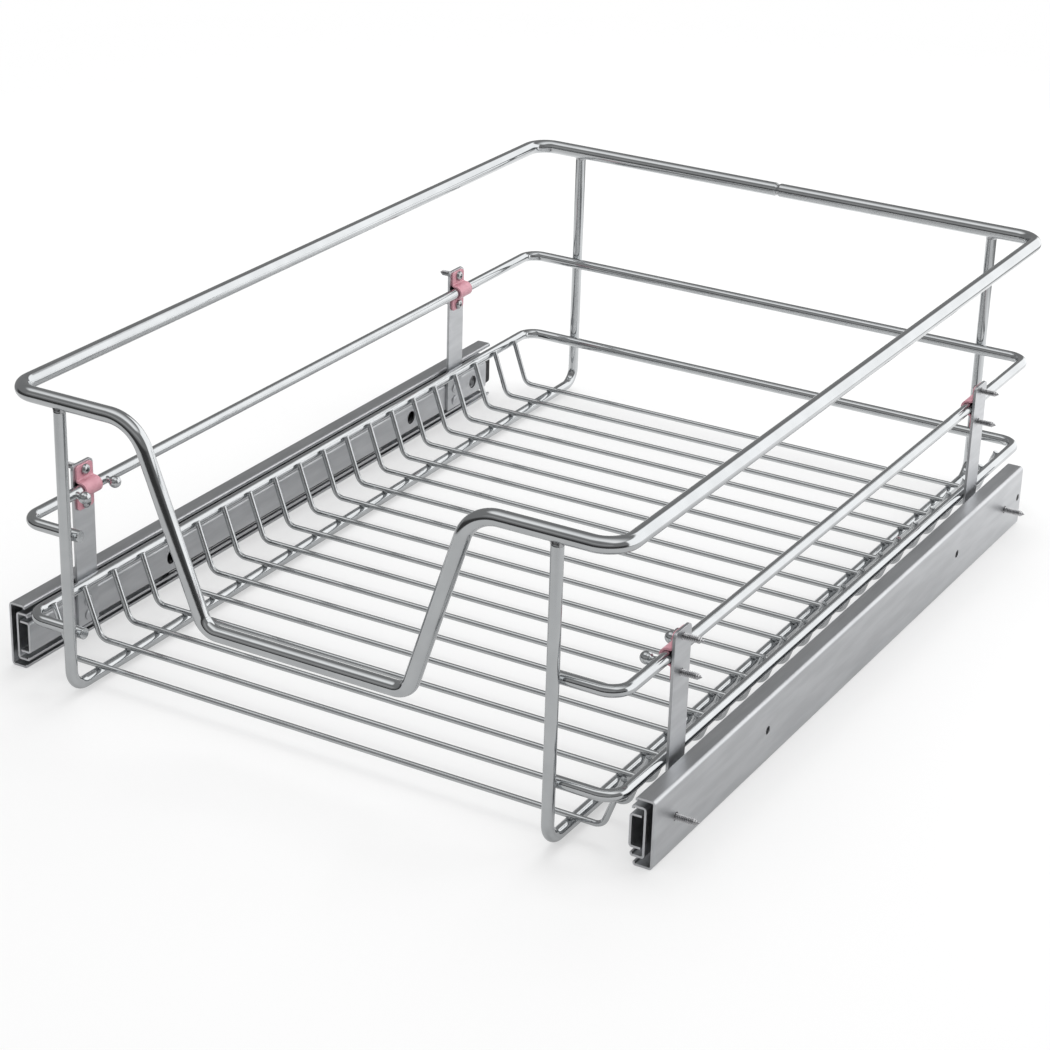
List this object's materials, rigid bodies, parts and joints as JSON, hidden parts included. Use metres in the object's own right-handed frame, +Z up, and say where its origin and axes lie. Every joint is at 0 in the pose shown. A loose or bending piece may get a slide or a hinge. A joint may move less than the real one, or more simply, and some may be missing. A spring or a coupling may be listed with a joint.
{
  "type": "pull out cabinet basket",
  "caption": "Shallow wire basket with a dipped handle front, clipped by its middle ring to brackets on full-extension ball-bearing runners that screw to a cabinet's sides.",
  "frame": {"origin": "level of the runners' undersides, midway between the basket's sides and between its front and back faces", "axes": "+Z up, +Y into the cabinet (the handle dip is at -Y), +X to the right of someone facing the basket"},
  "size_m": [0.3876, 0.508, 0.16],
  "materials": {
    "chrome_wire": "bright chrome plate on drawn steel wire",
    "pink_clip": "satin pink",
    "screw_steel": "zinc-plated, slightly dark",
    "zinc_plate": "bright zinc on rolled sheet",
    "cage_steel": "plain rolled strip",
    "ball_steel": "polished steel",
    "bumper_rubber": "matt moulded rubber"
  },
  "bodies": {
    "cabinet_side": {"left_cabinet_member": "zinc_plate", "right_cabinet_member": "zinc_plate", "left_rear_bumper": "bumper_rubber", "right_rear_bumper": "bumper_rubber", "runner_screws": "screw_steel"},
    "basket": {"top_rim": "chrome_wire", "rim_butt_weld": "chrome_wire", "middle_ring": "chrome_wire", "lower_ring": "chrome_wire", "left_side_frame": "chrome_wire", "right_side_frame": "chrome_wire", "floor_wire_01": "chrome_wire", "floor_wire_02": "chrome_wire", "floor_wire_03": "chrome_wire", "floor_wire_04": "chrome_wire", "floor_wire_05": "chrome_wire", "floor_wire_06": "chrome_wire", "floor_wire_07": "chrome_wire", "floor_wire_08": "chrome_wire", "floor_wire_09": "chrome_wire", "floor_wire_10": "chrome_wire", "floor_wire_11": "chrome_wire", "floor_wire_12": "chrome_wire", "floor_wire_13": "chrome_wire", "floor_wire_14": "chrome_wire", "floor_wire_15": "chrome_wire", "floor_wire_16": "chrome_wire", "floor_wire_17": "chrome_wire", "floor_wire_18": "chrome_wire", "floor_wire_19": "chrome_wire", "floor_wire_20": "chrome_wire", "left_locating_pins": "chrome_wire", "right_locating_pins": "chrome_wire", "front_left_clip": "pink_clip", "front_right_clip": "pink_clip", "rear_left_clip": "pink_clip", "rear_right_clip": "pink_clip", "clip_screws": "screw_steel", "front_left_bracket": "zinc_plate", "front_right_bracket": "zinc_plate", "rear_left_bracket": "zinc_plate", "rear_right_bracket": "zinc_plate", "bracket_rivets": "zinc_plate", "left_drawer_member": "zinc_plate", "right_drawer_member": "zinc_plate"},
    "middle_members": {"left_middle_member": "zinc_plate", "right_middle_member": "zinc_plate"},
    "outer_cages": {"left_outer_cage": "cage_steel", "right_outer_cage": "cage_steel", "left_outer_balls": "ball_steel", "right_outer_balls": "ball_steel"},
    "inner_cages": {"left_inner_cage": "cage_steel", "right_inner_cage": "cage_steel", "left_inner_balls": "ball_steel", "right_inner_balls": "ball_steel"}
  },
  "joints": [
    {"name": "basket_slide", "type": "slide", "parent": "cabinet_side", "child": "basket", "axis": [0, -1, 0], "range_m": [0, 0.44]},
    {"name": "middle_slide", "type": "slide", "parent": "cabinet_side", "child": "middle_members", "axis": [0, -1, 0], "range_m": [0, 0.22]},
    {"name": "outer_cage_slide", "type": "slide", "parent": "cabinet_side", "child": "outer_cages", "axis": [0, -1, 0], "range_m": [0, 0.11]},
    {"name": "inner_cage_slide", "type": "slide", "parent": "cabinet_side", "child": "inner_cages", "axis": [0, -1, 0], "range_m": [0, 0.33]}
  ],
  "couplings": [
    {"joint": "middle_slide", "follows": "basket_slide", "ratio": 0.5},
    {"joint": "outer_cage_slide", "follows": "basket_slide", "ratio": 0.25},
    {"joint": "inner_cage_slide", "follows": "basket_slide", "ratio": 0.75}
  ]
}
